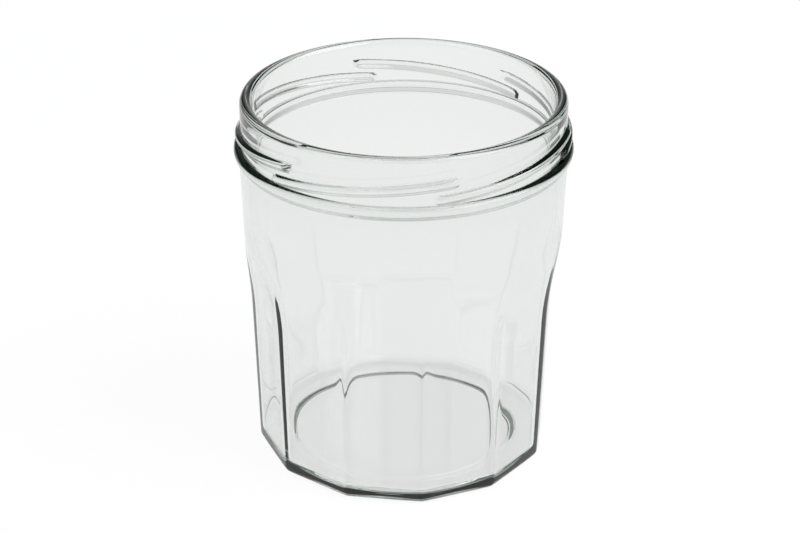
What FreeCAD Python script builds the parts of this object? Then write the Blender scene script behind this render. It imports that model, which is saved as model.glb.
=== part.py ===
import FreeCAD, Part
import math
import os

# Screw-top jam jar of clear pressed glass, empty and without its lid.
# One solid: a twelve-panelled tumbler body under a round neck with six
# lug threads.  Millimetres, +Z up, origin on the table under the axis,
# front towards -Y.

# --- Rim and neck -----------------------------------------------------------
JAR_HEIGHT = 95.5
NECK_RADIUS = 40.35
MOUTH_RADIUS = 37.3
BORE_LOW_RADIUS = 36.9
BORE_LOW_Z = 82.0

# --- Transfer bead, the round ring under the threads ------------------------
BEAD_RADIUS = 42.1
BEAD_Z = 82.0
BEAD_UPPER_ROUNDING = 1.5
BEAD_LOWER_ROUNDING = 2.4

# --- Lug threads ------------------------------------------------------------
LUG_COUNT = 6
LUG_HIGH_END_DEG = 19.0
LUG_SWEEP_DEG = 68.0
LUG_HIGH_Z = 88.9
LUG_LOW_Z = 84.65
LUG_PROUD = 1.35
LUG_SECTION_RADIUS = 1.1

# --- Outside of the body ----------------------------------------------------
BASE_RADIUS = 38.1
SHOULDER_RADIUS = 40.8
PANEL_COUNT = 12
FIRST_RIDGE_DEG = 8.0
PANEL_APOTHEM = 36.35
PANEL_FLARE = 0.029
ARCH_START_Z = 40.0
ARCH_RADIUS = 68.0
ARCH_SWING_DEG = 30.0
RIDGE_ROUNDING = 2.4
HEEL_ROUNDING = 3.0

# --- Inside -----------------------------------------------------------------
FLOOR_THICKNESS = 3.1
BASE_WALL = 2.4
SHOULDER_WALL = 2.8
INSIDE_SHOULDER_Z = 74.0
INSIDE_RIDGE_ROUNDING = 6.0
INSIDE_HEEL_ROUNDING = 2.0
WALL_GROWTH = (SHOULDER_WALL - BASE_WALL) / INSIDE_SHOULDER_Z

# --- Underside --------------------------------------------------------------
FOOT_RING_RADIUS = 29.0
PUNT_DEPTH = 1.2
PUNT_SLOPE = 2.5

# --- Cutting stock, only has to reach past the jar --------------------------
STOCK_RADIUS = 60.0
STOCK_HALF_WIDTH = 16.0
STOCK_LOW_Z = -5.0

# --- Where edges are looked for when they are rounded -----------------------
EDGE_MARGIN = 0.01
PANELS_END_Z = 72.0

AXIS = FreeCAD.Vector(0, 0, 1)
CENTRE = FreeCAD.Vector(0, 0, 0)


def at(radius, height):
    """A point of a half profile, in the plane of the axis and +X."""
    return FreeCAD.Vector(radius, 0, height)


def line(start, end):
    """A straight edge between two points."""
    return Part.makeLine(start, end)


def arc(start, middle, end):
    """A circular edge through three points."""
    return Part.Arc(start, middle, end).toShape()


def turned(half_profile):
    """The solid of revolution of a closed half profile."""
    face = Part.Face(Part.Wire(half_profile))
    return face.revolve(CENTRE, AXIS, 360)


def bead_side(rounding, end_radius, up):
    """One side of the bead's section, from its crown round to the wall; up is 1 above, -1 below."""
    centre_radius = BEAD_RADIUS - rounding
    end_turn = math.acos((end_radius - centre_radius) / rounding)
    points = []
    for turn in (0.0, end_turn / 2, end_turn):
        outward = rounding * math.cos(turn)
        upward = up * rounding * math.sin(turn)
        points.append(at(centre_radius + outward, BEAD_Z + upward))
    return points


def outer_blank():
    """The jar as a round blank: body, bead, neck and lip outside, and the bore of the mouth."""
    lip_rounding = (NECK_RADIUS - MOUTH_RADIUS) / 2
    lip_z = JAR_HEIGHT - lip_rounding
    lip_top = at(MOUTH_RADIUS + lip_rounding, JAR_HEIGHT)
    base_edge = at(BASE_RADIUS, 0)
    bead_crown, bead_under, shoulder = bead_side(BEAD_LOWER_ROUNDING, SHOULDER_RADIUS, -1)
    bead_crown, bead_over, neck_low = bead_side(BEAD_UPPER_ROUNDING, NECK_RADIUS, 1)
    neck_high = at(NECK_RADIUS, lip_z)
    bore_high = at(MOUTH_RADIUS, lip_z)
    bore_low = at(BORE_LOW_RADIUS, BORE_LOW_Z)
    bore_middle = at(0, BORE_LOW_Z)
    return turned([
        line(CENTRE, base_edge),
        line(base_edge, shoulder),
        arc(shoulder, bead_under, bead_crown),
        arc(bead_crown, bead_over, neck_low),
        line(neck_low, neck_high),
        arc(neck_high, lip_top, bore_high),
        line(bore_high, bore_low),
        line(bore_low, bore_middle),
        line(bore_middle, CENTRE),
    ])


def inner_blank():
    """The hollow of the body as a round blank, from the floor up to the bore of the mouth."""
    bead_foot = bead_side(BEAD_LOWER_ROUNDING, SHOULDER_RADIUS, -1)[-1]
    body_slope = (bead_foot.x - BASE_RADIUS) / bead_foot.z
    floor_middle = at(0, FLOOR_THICKNESS)
    foot = at(BASE_RADIUS - BASE_WALL + (body_slope - WALL_GROWTH) * FLOOR_THICKNESS, FLOOR_THICKNESS)
    shoulder = at(BASE_RADIUS - SHOULDER_WALL + body_slope * INSIDE_SHOULDER_Z, INSIDE_SHOULDER_Z)
    bore_low = at(BORE_LOW_RADIUS, BORE_LOW_Z)
    bore_middle = at(0, BORE_LOW_Z)
    return turned([
        line(floor_middle, foot),
        line(foot, shoulder),
        line(shoulder, bore_low),
        line(bore_low, bore_middle),
        line(bore_middle, floor_middle),
    ])


def panel_cutter(apothem, flare):
    """The stock that one panel takes off: flat below, curling out at its arch."""
    slope = math.atan(flare)
    foot = at(apothem + flare * STOCK_LOW_Z, STOCK_LOW_Z)
    start = at(apothem + flare * ARCH_START_Z, ARCH_START_Z)

    def on_arch(swing_deg):
        swing = math.radians(swing_deg)
        outward = ARCH_RADIUS * (math.cos(slope) - math.cos(slope + swing))
        upward = ARCH_RADIUS * (math.sin(slope + swing) - math.sin(slope))
        return at(start.x + outward, start.z + upward)

    top = on_arch(ARCH_SWING_DEG)
    far_top = at(STOCK_RADIUS, top.z)
    far_foot = at(STOCK_RADIUS, STOCK_LOW_Z)
    profile = Part.Wire([
        line(foot, start),
        arc(start, on_arch(ARCH_SWING_DEG / 2), top),
        line(top, far_top),
        line(far_top, far_foot),
        line(far_foot, foot),
    ])
    profile.translate(FreeCAD.Vector(0, -STOCK_HALF_WIDTH, 0))
    return Part.Face(profile).extrude(FreeCAD.Vector(0, 2 * STOCK_HALF_WIDTH, 0))


def panelled(blank, apothem, flare, ridge_rounding, heel_rounding):
    """A round blank with its panels cut, then their ridges and arches and its lower edge rounded."""
    step = 360.0 / PANEL_COUNT
    cutters = []
    for index in range(PANEL_COUNT):
        cutter = panel_cutter(apothem, flare)
        cutter.rotate(CENTRE, AXIS, FIRST_RIDGE_DEG - 90 + step * (index + 0.5))
        cutters.append(cutter)
    body = blank.cut(cutters)
    just_above_foot = body.BoundBox.ZMin + EDGE_MARGIN
    ridges = []
    for edge in body.Edges:
        if just_above_foot < edge.BoundBox.ZMax < PANELS_END_Z:
            ridges.append(edge)
    body = body.makeFillet(ridge_rounding, ridges)
    heel = [edge for edge in body.Edges if edge.BoundBox.ZMax < just_above_foot]
    return body.makeFillet(heel_rounding, heel)


def punt():
    """The shallow hollow under the base, inside the foot ring."""
    return Part.makeCone(FOOT_RING_RADIUS, FOOT_RING_RADIUS - PUNT_SLOPE, PUNT_DEPTH)


def lug_threads():
    """The ring of lug threads: ball-ended arcs that lean down the neck."""
    ring_radius = NECK_RADIUS + LUG_PROUD - LUG_SECTION_RADIUS
    half_sweep = LUG_SWEEP_DEG / 2
    drop = LUG_HIGH_Z - LUG_LOW_Z
    lean = math.asin(drop / 2 / (ring_radius * math.sin(math.radians(half_sweep))))
    rib = Part.makeTorus(ring_radius, LUG_SECTION_RADIUS, CENTRE, AXIS, -180, 180, LUG_SWEEP_DEG)
    rib.rotate(CENTRE, AXIS, -half_sweep)
    tips = []
    for side in (-1, 1):
        tip_turn = math.radians(side * half_sweep)
        tip_centre = FreeCAD.Vector(ring_radius * math.cos(tip_turn), ring_radius * math.sin(tip_turn), 0)
        tips.append(Part.makeSphere(LUG_SECTION_RADIUS, tip_centre))
    lug = rib.fuse(tips)
    lug.rotate(CENTRE, FreeCAD.Vector(1, 0, 0), math.degrees(lean))
    lug.translate(FreeCAD.Vector(0, 0, (LUG_HIGH_Z + LUG_LOW_Z) / 2))
    lug.rotate(CENTRE, AXIS, LUG_HIGH_END_DEG - half_sweep - 90)
    lugs = []
    for index in range(LUG_COUNT):
        copy = lug.copy()
        copy.rotate(CENTRE, AXIS, 360.0 / LUG_COUNT * index)
        lugs.append(copy)
    return lugs


body = panelled(outer_blank(), PANEL_APOTHEM, PANEL_FLARE, RIDGE_ROUNDING, HEEL_ROUNDING)
body = body.fuse(lug_threads())
hollow = panelled(
    inner_blank(),
    PANEL_APOTHEM - BASE_WALL,
    PANEL_FLARE - WALL_GROWTH,
    INSIDE_RIDGE_ROUNDING,
    INSIDE_HEEL_ROUNDING,
)
jar = body.cut([hollow, punt()]).Solids[0]
os.makedirs("parts", exist_ok=True)
jar.exportStep("parts/jar.step")
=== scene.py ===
import math

import bpy
from mathutils import Matrix, Vector


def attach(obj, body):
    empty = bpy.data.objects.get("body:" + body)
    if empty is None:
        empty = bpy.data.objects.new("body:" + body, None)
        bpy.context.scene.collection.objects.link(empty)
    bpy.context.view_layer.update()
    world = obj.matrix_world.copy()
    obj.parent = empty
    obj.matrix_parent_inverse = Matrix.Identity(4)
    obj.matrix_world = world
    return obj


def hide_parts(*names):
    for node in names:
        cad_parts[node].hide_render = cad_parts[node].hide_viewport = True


# A screw-top jam jar of clear pressed glass: twelve arched panels, a bead under
# the neck and six lug threads.  All sizes are metres; MM turns drawing sizes into them.

MM = 0.001

# --- Rim and neck -----------------------------------------------------------
JAR_HEIGHT = 95.5 * MM
NECK_RADIUS = 40.35 * MM
MOUTH_RADIUS = 37.3 * MM
BORE_LOW_RADIUS = 36.9 * MM
BORE_LOW = 82.0 * MM
LIP_ROUNDING = (NECK_RADIUS - MOUTH_RADIUS) / 2
LIP_SPRING = JAR_HEIGHT - LIP_ROUNDING

# --- Bead under the threads -------------------------------------------------
BEAD_RADIUS = 42.1 * MM
BEAD_CROWN = 82.0 * MM
BEAD_UPPER_SIDE = 1.6 * MM
BEAD_SQUARENESS = 0.75
BEAD_LOWER_SIDE = 2.3 * MM

# --- Lug threads ------------------------------------------------------------
# Each lug falls from its high end to its low end as it goes round.  Its upper side
# is steep and its lower side eases into the neck.  A small root meets the neck
# squarely, a larger one more softly.
LUG_COUNT = 6
LUG_HIGH_END = math.radians(19.0)
LUG_SWEEP = math.radians(68.0)
LUG_HIGH = 89.0 * MM
LUG_LOW = 84.75 * MM
LUG_PROUD = 1.3 * MM
LUG_HALF_WIDTH = 1.15 * MM
LUG_LOWER_WIDTH = 1.8 * MM
LUG_SQUARENESS = 1.6
LUG_ROOT_LOW_END = 0.03
LUG_ROOT_HIGH_END = 0.35
LUG_MARGIN = 1.05

# --- Body -------------------------------------------------------------------
BASE_CONE_RADIUS = 38.1 * MM
SHOULDER_RADIUS = 40.8 * MM
SHOULDER = 79.2 * MM
PANEL_COUNT = 12
FIRST_RIDGE = math.radians(8.0)
PANEL_APOTHEM = 36.35 * MM
PANEL_FLARE = 0.029
ARCH_START = 40.0 * MM
ARCH_RADIUS = 68.0 * MM
ARCH_END = 63.0 * MM
RIDGE_SOFTNESS = 0.35 * MM
ARCH_SOFTNESS = 2.0 * MM
HEEL_ROUNDING = 2.1 * MM

# --- Inside and underside ---------------------------------------------------
FLOOR_TOP = 3.1 * MM
INSIDE_HEEL = 0.9 * MM
WALL = 2.4 * MM
SHOULDER_WALL = 2.8 * MM
INSIDE_SHOULDER = 66.0 * MM
INSIDE_PANEL_SHARE = 1.0
INSIDE_RIDGE_SOFTNESS = 1.6 * MM
INSIDE_ARCH_SOFTNESS = 1.8 * MM
INSIDE_SMOOTHING = 3.0 * MM
SMOOTHING_STEPS = 9
FOOT_RING_RADIUS = 29.0 * MM
PUNT_DEPTH = 1.2 * MM
PUNT_SLOPE = 2.5 * MM

# --- How finely the surface is drawn ----------------------------------------
# Rows along the section, in the order it is drawn.  PUNT_ROWS are the hollow, its slope
# and the foot ring; WALL_ROWS are the panels, their arches and the round body.
# RIDGE_CROWDING moves the steps of each panel towards its two ridges.
STEPS_PER_PANEL = 22
RIDGE_CROWDING = 0.35
PUNT_ROWS = (8, 10, 8)
HEEL_ROWS = 12
WALL_ROWS = (12, 34, 10)
BEAD_ROWS = 20
LUG_ROWS = 150
NECK_ROWS = 5
LIP_ROWS = 20
INSIDE_ROWS = 34
INSIDE_HEEL_ROWS = 14
FLOOR_ROWS = 8
PANEL_NUDGE = 1e-4  # share of a panel, so that rounding leaves a ridge in its own panel
WELD_DISTANCE = 1e-6  # closes the seam and the two poles

# --- Glass ------------------------------------------------------------------
GLASS_IOR = 1.52
WAVES_PER_METRE = 60.0
WAVE_HEIGHT = 0.02 * MM
WAVE_DETAIL = 1.0
GLASS_TINT = (0.19, 0.31, 0.245)
GLASS_TINT_DENSITY = 26.0

# --- Camera -----------------------------------------------------------------
LENS = 93.95
SENSOR_WIDTH = 36.0
CAMERA_TILT = 0.469
CAMERA_TURN = 0.056
CAMERA_ROLL = 0.0042
CAMERA_DISTANCE = 536.1 * MM
CAMERA_AIM = 45.0 * MM
CAMERA_SHIFT = (0.1433, 0.0125)
CAMERA_NEAREST = 10.0 * MM

# --- Table: a matt paint, and a lift that makes it look white ----------------
# The lift has one level for the camera and one for what the glass shows, which
# fades out past the edge of the sheet.
TABLE_GAP = 0.1 * MM
TABLE_HALF_SIDE = 4000 * MM
FLOOR_PAINT = 0.12
FLOOR_LIFT = 0.92
FLOOR_LIFT_IN_GLASS = 0.835
SHEET_EDGE = 1600 * MM
SHEET_END = 2600 * MM

# --- Room as the glass sees it; the camera sees white ------------------------
# Directions are parts of a length of 1.  The overhead starts a little above the
# table's level.  The backdrop lies behind the jar, and fades to the sides and upwards.
ROOM_AT_TABLE = (0.9, 0.9, 0.9, 1)
ROOM_OVERHEAD = (0.08, 0.135, 0.10, 1)
OVERHEAD_STARTS = 0.08
BACKDROP_COLOUR = (0.75, 0.75, 0.75, 1)
BACKDROP_EDGE = 0.15
BACKDROP_FULL = 0.75
BACKDROP_NARROWING = 1.6
BACKDROP_LOWERING = 0.9

# --- Lamps: places and sizes in metres, strength in watts --------------------
LAMP_AIM = (0, 0, 0.05)
KEY_PLACE = (0.9, -0.3, 1.0)
KEY_SIZE = (1.2, 1.2)
KEY_WATTS = 14
FILL_PLACE = (-1.2, -0.2, 1.2)
FILL_SIZE = (2.0, 2.0)
FILL_WATTS = 12


# ---------------------------------------------------------------------------
# Half section of the jar
# ---------------------------------------------------------------------------
def spread(count, closed=False):
    """Even fractions from 0, with 1 itself only when the run is closed."""
    last = count - 1 if closed else count
    return [step / last for step in range(count)]


def blend(low, high, share):
    """The value a share of the way from low to high."""
    return low + (high - low) * share


def body_cone(height):
    """Radius of the plain round body, before its panels."""
    return blend(BASE_CONE_RADIUS, SHOULDER_RADIUS, height / SHOULDER)


def bead_over():
    """The upper side of the bead from its crown: a full quarter round that ends square on the neck."""
    points = []
    for share in spread(BEAD_ROWS, closed=True):
        turn = share * math.pi / 2
        outward = math.cos(turn) ** BEAD_SQUARENESS if share < 1 else 0.0
        upward = math.sin(turn) ** BEAD_SQUARENESS
        points.append((blend(NECK_RADIUS, BEAD_RADIUS, outward), BEAD_CROWN + BEAD_UPPER_SIDE * upward))
    return points


def bead_under():
    """The lower side of the bead from its crown: it falls away gently into the body."""
    points = []
    for share in spread(BEAD_ROWS, closed=True):
        height = BEAD_CROWN - BEAD_LOWER_SIDE * share
        fullness = 0.5 + 0.5 * math.cos(math.pi * share)
        points.append((blend(body_cone(height), BEAD_RADIUS, fullness), height))
    return points


def inside_radius(height):
    """Radius of the inner wall: a wall's thickness in from the body, drawn in at the neck."""
    if height < INSIDE_SHOULDER:
        climb = height / INSIDE_SHOULDER
        return body_cone(height) - blend(WALL, SHOULDER_WALL, climb)
    if height < BORE_LOW:
        climb = (height - INSIDE_SHOULDER) / (BORE_LOW - INSIDE_SHOULDER)
        return blend(body_cone(INSIDE_SHOULDER) - SHOULDER_WALL, BORE_LOW_RADIUS, climb)
    climb = (height - BORE_LOW) / (LIP_SPRING - BORE_LOW)
    return blend(BORE_LOW_RADIUS, MOUTH_RADIUS, climb)


def smooth_inside(height):
    """The inner wall averaged over a few millimetres, so no turning point shows as a crease."""
    reach = INSIDE_SMOOTHING
    low = max(height - reach, FLOOR_TOP + INSIDE_HEEL)
    high = min(height + reach, LIP_SPRING)
    reach = min(height - low, high - height)
    steps = [height + reach * (share * 2 - 1) for share in spread(SMOOTHING_STEPS, closed=True)]
    return sum(inside_radius(step) for step in steps) / len(steps)


def half_section():
    """Rows from the middle of the underside, out, over the lip and down to the floor's middle.

    Each row is radius, height, share of the panels' inset, share of the lug threads."""
    rows = []
    punt_edge = FOOT_RING_RADIUS - PUNT_SLOPE
    heel_radius = body_cone(HEEL_ROUNDING)
    heel_foot = heel_radius - HEEL_ROUNDING
    hollow_rows, slope_rows, ring_rows = PUNT_ROWS
    for share in spread(hollow_rows):
        rows.append((blend(0, punt_edge, share), PUNT_DEPTH, 0, 0))
    for share in spread(slope_rows):
        height = PUNT_DEPTH * (0.5 + 0.5 * math.cos(math.pi * share))
        rows.append((blend(punt_edge, FOOT_RING_RADIUS, share), height, 0, 0))
    for share in spread(ring_rows):
        rows.append((blend(FOOT_RING_RADIUS, heel_foot, share), 0, share, 0))
    for share in spread(HEEL_ROWS):
        turn = share * math.pi / 2
        radius = heel_foot + HEEL_ROUNDING * math.sin(turn)
        rows.append((radius, HEEL_ROUNDING * (1 - math.cos(turn)), 1, 0))
    panel_rows, arch_rows, round_rows = WALL_ROWS
    for share in spread(panel_rows):
        height = blend(HEEL_ROUNDING, ARCH_START, share)
        rows.append((body_cone(height), height, 1, 0))
    for share in spread(arch_rows):
        height = blend(ARCH_START, ARCH_END, share)
        rows.append((body_cone(height), height, 1, 0))
    under_bead = bead_under()
    over_bead = bead_over()
    bead_low = under_bead[-1][1]
    bead_high = over_bead[-1][1]
    for share in spread(round_rows):
        height = blend(ARCH_END, bead_low, share)
        rows.append((body_cone(height), height, 0, 0))
    for radius, height in reversed(under_bead[1:]):
        rows.append((radius, height, 0, 0))
    for radius, height in over_bead[:-1]:
        rows.append((radius, height, 0, 1))
    lugs_end = LUG_HIGH + LUG_HALF_WIDTH * LUG_MARGIN
    for share in spread(LUG_ROWS):
        height = blend(bead_high, lugs_end, share)
        rows.append((NECK_RADIUS, height, 0, 1))
    for share in spread(NECK_ROWS):
        height = blend(lugs_end, LIP_SPRING, share)
        rows.append((NECK_RADIUS, height, 0, 0))
    lip_middle = (NECK_RADIUS + MOUTH_RADIUS) / 2
    for share in spread(LIP_ROWS):
        turn = share * math.pi
        radius = lip_middle + LIP_ROUNDING * math.cos(turn)
        rows.append((radius, LIP_SPRING + LIP_ROUNDING * math.sin(turn), 0, 0))
    for share in spread(INSIDE_ROWS):
        height = blend(LIP_SPRING, FLOOR_TOP + INSIDE_HEEL, share)
        rows.append((smooth_inside(height), height, INSIDE_PANEL_SHARE, 0))
    foot_radius = smooth_inside(FLOOR_TOP + INSIDE_HEEL)
    for share in spread(INSIDE_HEEL_ROWS):
        turn = share * math.pi / 2
        radius = foot_radius - INSIDE_HEEL * (1 - math.cos(turn))
        height = FLOOR_TOP + INSIDE_HEEL * (1 - math.sin(turn))
        rows.append((radius, height, INSIDE_PANEL_SHARE, 0))
    floor_edge = foot_radius - INSIDE_HEEL
    for share in spread(FLOOR_ROWS, closed=True):
        rows.append((blend(floor_edge, 0, share), FLOOR_TOP, INSIDE_PANEL_SHARE * (1 - share), 0))
    return rows


def section_line(rows):
    """The half section as a mesh line that carries its shares as attributes."""
    mesh = bpy.data.meshes.new("half_section")
    mesh.from_pydata([(radius, 0, height) for radius, height, _, _ in rows], [], [])
    panel_share = mesh.attributes.new("panel_share", "FLOAT", "POINT")
    lug_share = mesh.attributes.new("lug_share", "FLOAT", "POINT")
    inside = mesh.attributes.new("inside", "FLOAT", "POINT")
    crown = max(range(len(rows)), key=lambda index: rows[index][1])
    for index, (_, _, panel, lug) in enumerate(rows):
        panel_share.data[index].value = panel
        lug_share.data[index].value = lug
        inside.data[index].value = float(index > crown)
    line = bpy.data.objects.new("jar_glass", mesh)
    bpy.context.scene.collection.objects.link(line)
    return line


# ---------------------------------------------------------------------------
# A short way to write a node tree
# ---------------------------------------------------------------------------
class Recipe:
    """A Geometry Nodes tree under construction, with its named sizes."""

    def __init__(self, name):
        self.tree = bpy.data.node_groups.new(name, "GeometryNodeTree")
        self.tree.interface.new_socket("Geometry", in_out="OUTPUT", socket_type="NodeSocketGeometry")
        self.tree.interface.new_socket("Geometry", in_out="INPUT", socket_type="NodeSocketGeometry")
        self.start = self.tree.nodes.new("NodeGroupInput")
        self.end = self.tree.nodes.new("NodeGroupOutput")
        self.values = {}

    def size(self, name, value, kind="NodeSocketFloat"):
        """A named input and the value that the modifier gives it."""
        socket = self.tree.interface.new_socket(name, in_out="INPUT", socket_type=kind)
        self.values[socket.identifier] = value
        return self.start.outputs[name]

    def node(self, kind, inputs=(), **settings):
        """A node with its settings made and its inputs joined or filled."""
        node = self.tree.nodes.new(kind)
        for key, value in settings.items():
            setattr(node, key, value)
        for key, value in dict(inputs).items():
            self.feed(node.inputs[key], value)
        return node

    def feed(self, socket, value):
        """Joins another node's result to a socket, or writes a plain value into it."""
        if isinstance(value, bpy.types.NodeSocket):
            self.tree.links.new(value, socket)
        else:
            socket.default_value = value

    def math(self, operation, *values):
        """One Math node; returns its result."""
        node = self.tree.nodes.new("ShaderNodeMath")
        node.operation = operation
        for socket, value in zip(node.inputs, values):
            self.feed(socket, value)
        return node.outputs[0]

    def apply_to(self, piece, name):
        """Adds the tree as a modifier, fills its inputs and returns the made mesh."""
        modifier = piece.modifiers.new(name, "NODES")
        modifier.node_group = self.tree
        for identifier, value in self.values.items():
            modifier[identifier] = value
        depsgraph = bpy.context.evaluated_depsgraph_get()
        made = bpy.data.meshes.new_from_object(piece.evaluated_get(depsgraph), depsgraph=depsgraph)
        piece.modifiers.remove(modifier)
        piece.data = made
        return made


# ---------------------------------------------------------------------------
# The rule of the jar's surface
# ---------------------------------------------------------------------------
def panel_inset(recipe, height, across, step, inside):
    """How far the panels lie inside the round body at a height and an angle across a panel."""
    apothem = recipe.size("Panel apothem", PANEL_APOTHEM)
    flare = recipe.size("Panel flare", PANEL_FLARE)
    arch_start = recipe.size("Arch start", ARCH_START)
    arch_radius = recipe.size("Arch radius", ARCH_RADIUS)
    ridge_outside = recipe.size("Ridge softness", RIDGE_SOFTNESS)
    ridge_more = recipe.size("Ridge softness added inside", INSIDE_RIDGE_SOFTNESS - RIDGE_SOFTNESS)
    arch_outside = recipe.size("Arch softness", ARCH_SOFTNESS)
    arch_more = recipe.size("Arch softness added inside", INSIDE_ARCH_SOFTNESS - ARCH_SOFTNESS)
    ridge_softness = recipe.math("MULTIPLY_ADD", inside, ridge_more, ridge_outside)
    arch_softness = recipe.math("MULTIPLY_ADD", inside, arch_more, arch_outside)
    heel = recipe.size("Heel rounding", HEEL_ROUNDING)
    cone_foot = recipe.size("Base cone radius", BASE_CONE_RADIUS)
    cone_slope = recipe.size("Body slope", (SHOULDER_RADIUS - BASE_CONE_RADIUS) / SHOULDER)

    above_heel = recipe.math("MAXIMUM", height, heel)
    flat = recipe.math("MULTIPLY_ADD", above_heel, flare, apothem)
    climb = recipe.math("MAXIMUM", recipe.math("SUBTRACT", above_heel, arch_start), 0.0)
    climb_squared = recipe.math("MULTIPLY", climb, climb)
    radius_squared = recipe.math("MULTIPLY", arch_radius, arch_radius)
    reach = recipe.math("SQRT", recipe.math("SUBTRACT", radius_squared, climb_squared))
    curl = recipe.math("SUBTRACT", arch_radius, reach)
    face = recipe.math("ADD", flat, curl)

    off_middle = recipe.math("ABSOLUTE", across)
    to_neighbour = recipe.math("SUBTRACT", step, off_middle)
    here = recipe.math("DIVIDE", face, recipe.math("COSINE", off_middle))
    next_door = recipe.math("DIVIDE", face, recipe.math("COSINE", to_neighbour))
    faceted = recipe.math("SMOOTH_MIN", here, next_door, ridge_softness)
    cone = recipe.math("MULTIPLY_ADD", above_heel, cone_slope, cone_foot)
    body = recipe.math("SMOOTH_MIN", cone, faceted, arch_softness)
    return recipe.math("SUBTRACT", cone, body)


def lug_rise(recipe, height, turn):
    """How far the lug threads stand proud of the neck at a height and an angle."""
    count = recipe.size("Lug count", float(LUG_COUNT))
    high_end = recipe.size("Lug high end", LUG_HIGH_END)
    sweep = recipe.size("Lug sweep", LUG_SWEEP)
    high = recipe.size("Lug high", LUG_HIGH)
    low = recipe.size("Lug low", LUG_LOW)
    proud = recipe.size("Lug proud", LUG_PROUD)
    half_width = recipe.size("Lug half width", LUG_HALF_WIDTH)
    lower_width = recipe.size("Lug lower width", LUG_LOWER_WIDTH)
    squareness = recipe.size("Lug squareness", LUG_SQUARENESS)
    root_low = recipe.size("Lug root at the low end", LUG_ROOT_LOW_END)
    root_high = recipe.size("Lug root at the high end", LUG_ROOT_HIGH_END)
    neck = recipe.size("Neck radius", NECK_RADIUS)

    # A point can lie on the lug behind it or ahead of it, so all three laps are tried.
    pitch = recipe.math("DIVIDE", math.tau, count)
    behind = recipe.math("SUBTRACT", high_end, turn)
    travel = recipe.math("FLOORED_MODULO", behind, pitch)
    middle = recipe.math("MULTIPLY", sweep, 0.5)
    fall = recipe.math("DIVIDE", recipe.math("SUBTRACT", high, low), sweep)
    rise = None
    for lap in (-1, 0, 1):
        along = recipe.math("MULTIPLY_ADD", pitch, float(lap), travel)
        centre = recipe.math("SUBTRACT", high, recipe.math("MULTIPLY", along, fall))
        beyond = recipe.math("ABSOLUTE", recipe.math("SUBTRACT", along, middle))
        straight = recipe.math("SUBTRACT", middle, recipe.math("DIVIDE", half_width, neck))
        past_tip = recipe.math("MAXIMUM", recipe.math("SUBTRACT", beyond, straight), 0.0)
        sideways = recipe.math("SUBTRACT", height, centre)
        above = recipe.math("MAXIMUM", sideways, 0.0)
        lengthways = recipe.math("MULTIPLY", past_tip, neck)
        square = recipe.math("MULTIPLY", above, above)
        square = recipe.math("MULTIPLY_ADD", lengthways, lengthways, square)
        square = recipe.math("DIVIDE", square, recipe.math("MULTIPLY", half_width, half_width))
        square = recipe.math("POWER", square, squareness)
        left = recipe.math("MAXIMUM", recipe.math("SUBTRACT", 1.0, square), 0.0)
        to_low_end = recipe.math("MAXIMUM", recipe.math("DIVIDE", along, sweep), 0.0)
        to_low_end = recipe.math("MINIMUM", to_low_end, 1.0)
        root_change = recipe.math("SUBTRACT", root_low, root_high)
        root = recipe.math("MULTIPLY_ADD", to_low_end, root_change, root_high)
        root_squared = recipe.math("MULTIPLY", root, root)
        arc = recipe.math("SQRT", recipe.math("ADD", left, root_squared))
        crown = recipe.math("SUBTRACT", arc, root)
        full = recipe.math("SUBTRACT", recipe.math("SQRT", recipe.math("ADD", 1.0, root_squared)), root)
        crown = recipe.math("DIVIDE", crown, full)
        below = recipe.math("MAXIMUM", recipe.math("SUBTRACT", centre, height), 0.0)
        below = recipe.math("MINIMUM", recipe.math("DIVIDE", below, lower_width), 1.0)
        slope = recipe.math("COSINE", recipe.math("MULTIPLY", below, math.pi))
        crown = recipe.math("MULTIPLY", crown, recipe.math("MULTIPLY_ADD", slope, 0.5, 0.5))
        rib = recipe.math("MULTIPLY", crown, proud)
        rise = rib if rise is None else recipe.math("MAXIMUM", rise, rib)
    return rise


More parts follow.
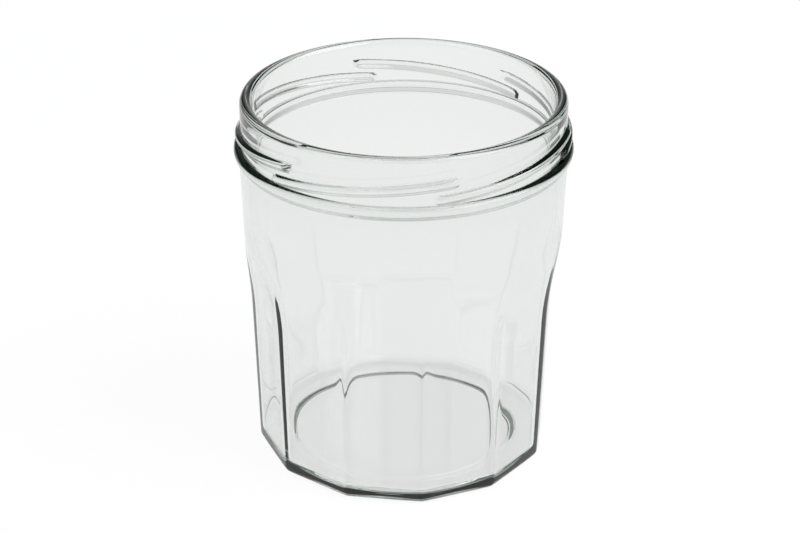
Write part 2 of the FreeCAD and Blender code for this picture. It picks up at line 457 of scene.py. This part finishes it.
def jar_recipe(rows, glass):
    """The tree that sweeps the half section round the axis, cut by panels and ribbed by lugs."""
    recipe = Recipe("jar_surface")
    panels = recipe.size("Panels", float(PANEL_COUNT))
    steps = recipe.size("Steps round", PANEL_COUNT * STEPS_PER_PANEL + 1, "NodeSocketInt")
    first_ridge = recipe.size("First ridge", FIRST_RIDGE)
    crowding = recipe.size("Ridge crowding", RIDGE_CROWDING)
    finish = recipe.size("Glass", glass, "NodeSocketMaterial")
    section = recipe.start.outputs["Geometry"]

    grid = recipe.node(
        "GeometryNodeMeshGrid",
        {"Size X": 1.0, "Size Y": 1.0, "Vertices X": steps, "Vertices Y": len(rows)},
    )
    place = recipe.node("GeometryNodeInputPosition")
    split = recipe.node("ShaderNodeSeparateXYZ", {"Vector": place.outputs[0]})
    round_share = recipe.math("ADD", split.outputs["X"], 0.5)
    row_share = recipe.math("ADD", split.outputs["Y"], 0.5)
    row = recipe.math("ROUND", recipe.math("MULTIPLY", row_share, float(len(rows) - 1)))

    def from_section(value, kind):
        sample = recipe.node("GeometryNodeSampleIndex", {"Geometry": section}, data_type=kind)
        recipe.feed(sample.inputs["Value"], value)
        recipe.feed(sample.inputs["Index"], row)
        return sample.outputs["Value"]

    section_place = recipe.node("GeometryNodeInputPosition")
    section_point = from_section(section_place.outputs[0], "FLOAT_VECTOR")
    point = recipe.node("ShaderNodeSeparateXYZ", {"Vector": section_point})
    radius = point.outputs["X"]
    height = point.outputs["Z"]

    def section_share(name):
        named = recipe.node("GeometryNodeInputNamedAttribute", {"Name": name}, data_type="FLOAT")
        return from_section(named.outputs[0], "FLOAT")

    step = recipe.math("DIVIDE", math.tau, panels)
    half_step = recipe.math("MULTIPLY", step, 0.5)
    around = recipe.math("MULTIPLY", round_share, panels)
    panel = recipe.math("FLOOR", recipe.math("ADD", around, PANEL_NUDGE))
    panel = recipe.math("MINIMUM", panel, recipe.math("SUBTRACT", panels, 1.0))
    swing = recipe.math("MULTIPLY", recipe.math("SUBTRACT", around, panel), 2.0)
    swing = recipe.math("SUBTRACT", swing, 1.0)
    cube = recipe.math("MULTIPLY", recipe.math("MULTIPLY", swing, swing), swing)
    eased = recipe.math("MULTIPLY", swing, recipe.math("ADD", crowding, 1.0))
    eased = recipe.math("SUBTRACT", eased, recipe.math("MULTIPLY", cube, crowding))
    across = recipe.math("MULTIPLY", eased, half_step)
    panel_middle = recipe.math("MULTIPLY_ADD", recipe.math("ADD", panel, 0.5), step, first_ridge)
    turn = recipe.math("ADD", panel_middle, across)

    inset = panel_inset(recipe, height, across, step, section_share("inside"))
    rise = lug_rise(recipe, height, turn)
    already = recipe.math("SUBTRACT", radius, recipe.size("Neck under the lugs", NECK_RADIUS))
    rise = recipe.math("MAXIMUM", recipe.math("SUBTRACT", rise, already), 0.0)
    carved = recipe.math("MULTIPLY", inset, section_share("panel_share"))
    raised = recipe.math("MULTIPLY", rise, section_share("lug_share"))
    reach = recipe.math("ADD", recipe.math("SUBTRACT", radius, carved), raised)

    sideways = recipe.math("MULTIPLY", reach, recipe.math("SINE", turn))
    forwards = recipe.math("MULTIPLY", recipe.math("COSINE", turn), -1.0)
    forwards = recipe.math("MULTIPLY", reach, forwards)
    placed = recipe.node("ShaderNodeCombineXYZ", {"X": sideways, "Y": forwards, "Z": height})
    shaped = recipe.node(
        "GeometryNodeSetPosition",
        {"Geometry": grid.outputs["Mesh"], "Position": placed.outputs[0]},
    )
    welded = recipe.node(
        "GeometryNodeMergeByDistance",
        {"Geometry": shaped.outputs[0], "Distance": WELD_DISTANCE},
    )
    smooth = recipe.node("GeometryNodeSetShadeSmooth", {"Geometry": welded.outputs[0]})
    whole = recipe.node("GeometryNodeRealizeInstances", {"Geometry": smooth.outputs[0]})
    glazed = recipe.node("GeometryNodeSetMaterial", {"Geometry": whole.outputs[0], "Material": finish})
    recipe.feed(recipe.end.inputs["Geometry"], glazed.outputs[0])
    return recipe


# ---------------------------------------------------------------------------
# Materials
# ---------------------------------------------------------------------------
def clear_glass():
    """Clear soda-lime glass: sharp, faintly wavy, and green-grey only where it is thick."""
    glass = bpy.data.materials.new("clear_glass")
    glass.use_nodes = True
    nodes = glass.node_tree.nodes
    links = glass.node_tree.links
    surface = nodes["Principled BSDF"]
    surface.inputs["Base Color"].default_value = (1, 1, 1, 1)
    surface.inputs["Roughness"].default_value = 0.0
    surface.inputs["IOR"].default_value = GLASS_IOR
    surface.inputs["Transmission Weight"].default_value = 1.0
    depth = nodes.new("ShaderNodeVolumeAbsorption")
    depth.inputs["Color"].default_value = (*GLASS_TINT, 1)
    depth.inputs["Density"].default_value = GLASS_TINT_DENSITY
    links.new(depth.outputs[0], nodes["Material Output"].inputs["Volume"])
    place = nodes.new("ShaderNodeTexCoord")
    waves = nodes.new("ShaderNodeTexNoise")
    waves.inputs["Scale"].default_value = WAVES_PER_METRE
    waves.inputs["Detail"].default_value = WAVE_DETAIL
    links.new(place.outputs["Object"], waves.inputs["Vector"])
    ripple = nodes.new("ShaderNodeBump")
    ripple.inputs["Strength"].default_value = 1.0
    ripple.inputs["Distance"].default_value = WAVE_HEIGHT
    links.new(waves.outputs["Fac"], ripple.inputs["Height"])
    links.new(ripple.outputs["Normal"], surface.inputs["Normal"])
    return glass


# ---------------------------------------------------------------------------
# Floor, room and camera
# ---------------------------------------------------------------------------
def white_floor():
    """A matt white table top that looks white to the camera and through the glass."""
    mesh = bpy.data.meshes.new("table_top")
    side = TABLE_HALF_SIDE
    corners = [(-side, -side, 0), (side, -side, 0), (side, side, 0), (-side, side, 0)]
    mesh.from_pydata(corners, [], [(0, 1, 2, 3)])
    floor = bpy.data.objects.new("table_top", mesh)
    floor.location.z = -TABLE_GAP
    bpy.context.scene.collection.objects.link(floor)
    paint = bpy.data.materials.new("white_table")
    paint.use_nodes = True
    nodes = paint.node_tree.nodes
    links = paint.node_tree.links
    nodes.clear()
    matt = nodes.new("ShaderNodeBsdfDiffuse")
    matt.inputs["Color"].default_value = (FLOOR_PAINT, FLOOR_PAINT, FLOOR_PAINT, 1)
    path = nodes.new("ShaderNodeLightPath")
    through = nodes.new("ShaderNodeMath")
    through.operation = "MAXIMUM"
    links.new(path.outputs["Is Glossy Ray"], through.inputs[0])
    links.new(path.outputs["Is Transmission Ray"], through.inputs[1])
    seen_through = nodes.new("ShaderNodeMath")
    seen_through.operation = "MULTIPLY"
    links.new(through.outputs[0], seen_through.inputs[0])
    place = nodes.new("ShaderNodeTexCoord")
    distance = nodes.new("ShaderNodeVectorMath")
    distance.operation = "LENGTH"
    links.new(place.outputs["Object"], distance.inputs[0])
    sheet = nodes.new("ShaderNodeMapRange")
    sheet.interpolation_type = "SMOOTHSTEP"
    sheet.inputs["From Min"].default_value = SHEET_EDGE
    sheet.inputs["From Max"].default_value = SHEET_END
    sheet.inputs["To Min"].default_value = FLOOR_LIFT_IN_GLASS
    sheet.inputs["To Max"].default_value = 0.0
    links.new(distance.outputs["Value"], sheet.inputs["Value"])
    links.new(sheet.outputs["Result"], seen_through.inputs[1])
    strength = nodes.new("ShaderNodeMath")
    strength.operation = "MULTIPLY_ADD"
    links.new(path.outputs["Is Camera Ray"], strength.inputs[0])
    strength.inputs[1].default_value = FLOOR_LIFT
    links.new(seen_through.outputs[0], strength.inputs[2])
    glow = nodes.new("ShaderNodeEmission")
    links.new(strength.outputs[0], glow.inputs["Strength"])
    both = nodes.new("ShaderNodeAddShader")
    links.new(matt.outputs[0], both.inputs[0])
    links.new(glow.outputs[0], both.inputs[1])
    out = nodes.new("ShaderNodeOutputMaterial")
    links.new(both.outputs[0], out.inputs["Surface"])
    mesh.materials.append(paint)


def room():
    """The world: white at the table's level, dark green-grey overhead, a pale backdrop behind."""
    world = bpy.data.worlds.new("studio")
    bpy.context.scene.world = world
    world.use_nodes = True
    nodes = world.node_tree.nodes
    links = world.node_tree.links
    background = nodes["Background"]
    where = nodes.new("ShaderNodeTexCoord")
    split = nodes.new("ShaderNodeSeparateXYZ")
    links.new(where.outputs["Generated"], split.inputs[0])
    level = nodes.new("ShaderNodeValToRGB")
    level.color_ramp.elements[0].position = 0.0
    level.color_ramp.elements[0].color = ROOM_AT_TABLE
    level.color_ramp.elements[1].position = OVERHEAD_STARTS
    level.color_ramp.elements[1].color = ROOM_OVERHEAD
    links.new(split.outputs["Z"], level.inputs[0])
    sideways = nodes.new("ShaderNodeMath")
    sideways.operation = "ABSOLUTE"
    links.new(split.outputs["X"], sideways.inputs[0])
    off_middle = nodes.new("ShaderNodeMath")
    off_middle.operation = "MULTIPLY_ADD"
    links.new(sideways.outputs[0], off_middle.inputs[0])
    off_middle.inputs[1].default_value = -BACKDROP_NARROWING
    links.new(split.outputs["Y"], off_middle.inputs[2])
    climb = nodes.new("ShaderNodeMath")
    climb.operation = "MULTIPLY"
    links.new(split.outputs["Z"], climb.inputs[0])
    links.new(split.outputs["Z"], climb.inputs[1])
    low_and_middle = nodes.new("ShaderNodeMath")
    low_and_middle.operation = "MULTIPLY_ADD"
    links.new(climb.outputs[0], low_and_middle.inputs[0])
    low_and_middle.inputs[1].default_value = -BACKDROP_LOWERING
    links.new(off_middle.outputs[0], low_and_middle.inputs[2])
    backdrop = nodes.new("ShaderNodeValToRGB")
    backdrop.color_ramp.elements[0].position = BACKDROP_EDGE
    backdrop.color_ramp.elements[0].color = (0, 0, 0, 1)
    backdrop.color_ramp.elements[1].position = BACKDROP_FULL
    backdrop.color_ramp.elements[1].color = BACKDROP_COLOUR
    links.new(low_and_middle.outputs[0], backdrop.inputs[0])
    ramp = nodes.new("ShaderNodeMix")
    ramp.data_type = "RGBA"
    ramp.blend_type = "LIGHTEN"
    ramp.inputs["Factor"].default_value = 1.0
    links.new(level.outputs[0], ramp.inputs["A"])
    links.new(backdrop.outputs[0], ramp.inputs["B"])
    path = nodes.new("ShaderNodeLightPath")
    mix = nodes.new("ShaderNodeMix")
    mix.data_type = "RGBA"
    links.new(path.outputs["Is Camera Ray"], mix.inputs["Factor"])
    links.new(ramp.outputs["Result"], mix.inputs["A"])
    mix.inputs["B"].default_value = (1, 1, 1, 1)
    links.new(mix.outputs["Result"], background.inputs["Color"])


def lamp(name, place, size, energy):
    """A soft rectangular lamp that faces the jar's middle."""
    light = bpy.data.lights.new(name, "AREA")
    light.shape = "RECTANGLE"
    light.size, light.size_y = size
    light.energy = energy
    holder = bpy.data.objects.new(name, light)
    holder.location = place
    holder.rotation_euler = (Vector(LAMP_AIM) - Vector(place)).to_track_quat("-Z", "Y").to_euler()
    bpy.context.scene.collection.objects.link(holder)


def camera():
    """The camera, in front of the jar and above it, tilted down and turned slightly sideways."""
    data = bpy.data.cameras.new("camera")
    data.lens = LENS
    data.sensor_width = SENSOR_WIDTH
    data.shift_x, data.shift_y = CAMERA_SHIFT
    data.clip_start = CAMERA_NEAREST
    holder = bpy.data.objects.new("camera", data)
    back = CAMERA_DISTANCE * math.cos(CAMERA_TILT)
    up = CAMERA_DISTANCE * math.sin(CAMERA_TILT)
    place = Matrix.Translation((0, -back, CAMERA_AIM + up))
    tilt = Matrix.Rotation(math.pi / 2 - CAMERA_TILT, 4, "X")
    turn = Matrix.Rotation(CAMERA_TURN, 4, "Y")
    roll = Matrix.Rotation(CAMERA_ROLL, 4, "Z")
    holder.matrix_world = place @ tilt @ turn @ roll
    bpy.context.scene.collection.objects.link(holder)
    bpy.context.scene.camera = holder


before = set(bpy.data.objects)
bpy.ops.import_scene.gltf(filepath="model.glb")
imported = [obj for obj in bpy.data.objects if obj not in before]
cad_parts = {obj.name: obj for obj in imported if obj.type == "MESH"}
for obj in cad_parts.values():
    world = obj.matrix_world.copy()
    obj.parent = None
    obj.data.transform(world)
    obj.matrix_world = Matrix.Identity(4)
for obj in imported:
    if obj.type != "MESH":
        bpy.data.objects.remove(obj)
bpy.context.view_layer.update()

glass = clear_glass()
rows = half_section()
jar = section_line(rows)
jar_recipe(rows, glass).apply_to(jar, "jar_surface")
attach(jar, "root")
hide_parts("jar")

white_floor()
room()
lamp("soft_key", KEY_PLACE, KEY_SIZE, KEY_WATTS)
lamp("soft_fill", FILL_PLACE, FILL_SIZE, FILL_WATTS)
camera()
bpy.context.scene.view_settings.view_transform = "Standard"
